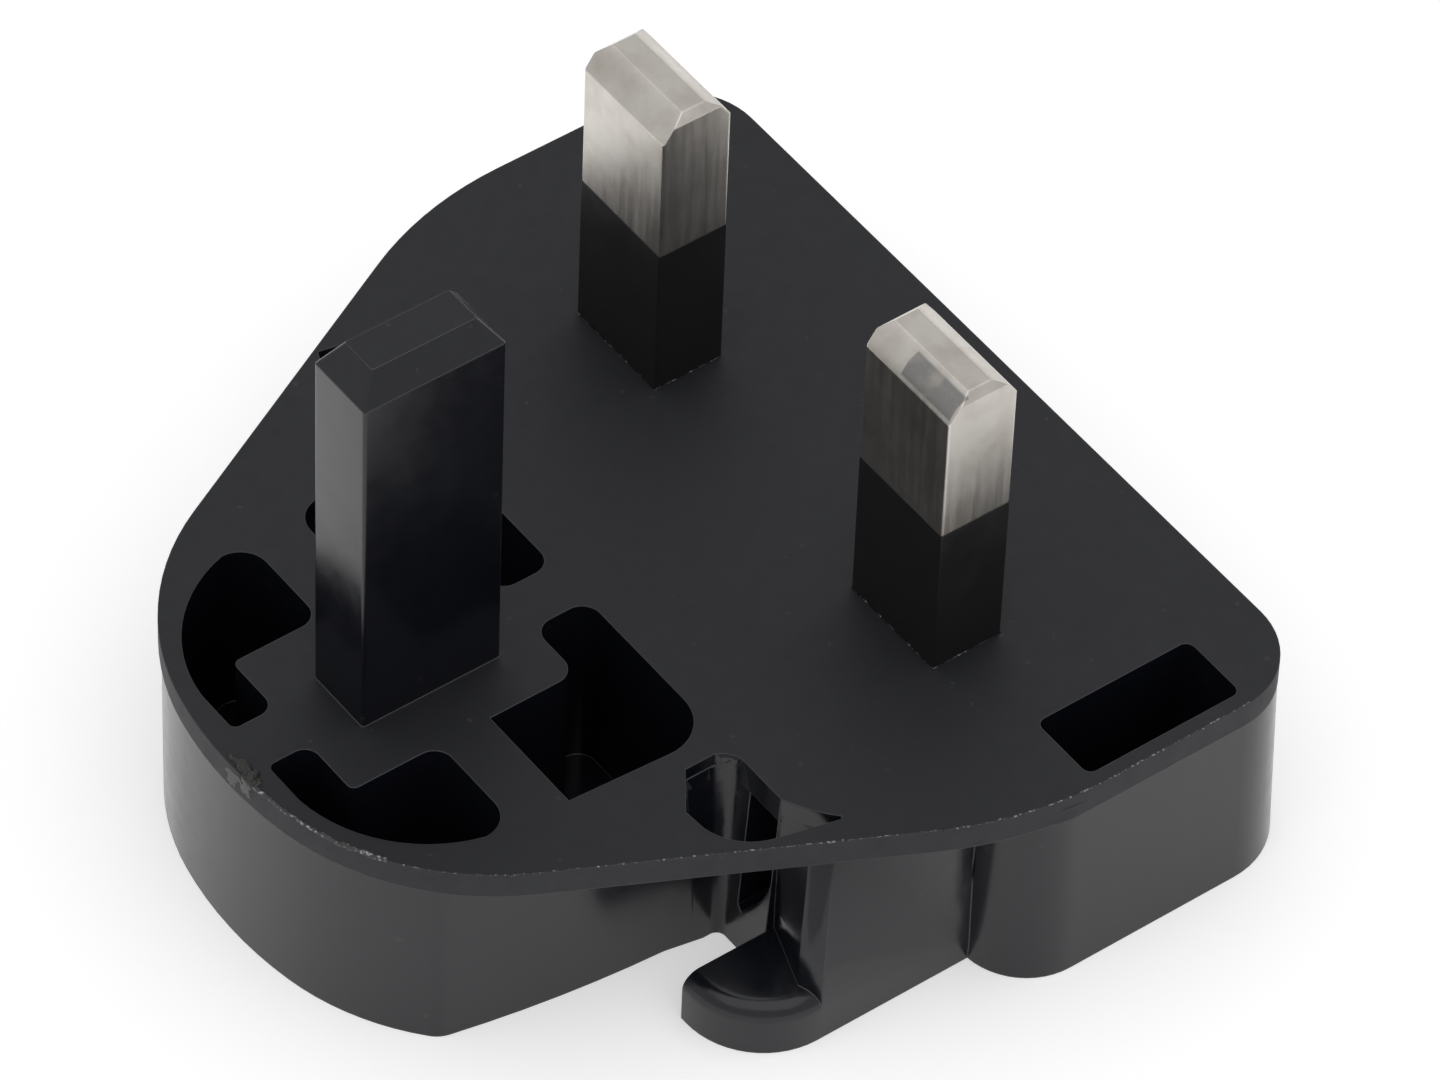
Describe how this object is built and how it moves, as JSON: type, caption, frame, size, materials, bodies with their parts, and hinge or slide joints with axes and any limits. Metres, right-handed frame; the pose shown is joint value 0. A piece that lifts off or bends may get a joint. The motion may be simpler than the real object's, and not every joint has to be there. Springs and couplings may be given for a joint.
{
  "type": "interchangeable plug clip",
  "caption": "Clip-on three-pin plug head for a wall adapter: moulded housing with plastic earth pin, sleeved blade pins, deep pockets and finger tabs.",
  "frame": {"origin": "on the pin face, midway between the line and neutral pins", "axes": "+Z along the pins, +Y towards the earth pin, -X towards the line pin"},
  "size_m": [0.0498, 0.0459, 0.0347],
  "materials": {
    "moulding": "fine matt moulded plastic",
    "cover": "matt moulded plastic",
    "sleeve": "smooth black insulation",
    "pin_plating": "nickel-plated brass",
    "contact_strip": "nickel-plated brass strip"
  },
  "bodies": {
    "root": {"housing": "moulding", "rear_cover": "cover", "line_pin": "pin_plating", "neutral_pin": "pin_plating", "line_sleeve": "sleeve", "neutral_sleeve": "sleeve", "line_contact": "contact_strip", "neutral_contact": "contact_strip"}
  },
  "joints": []
}
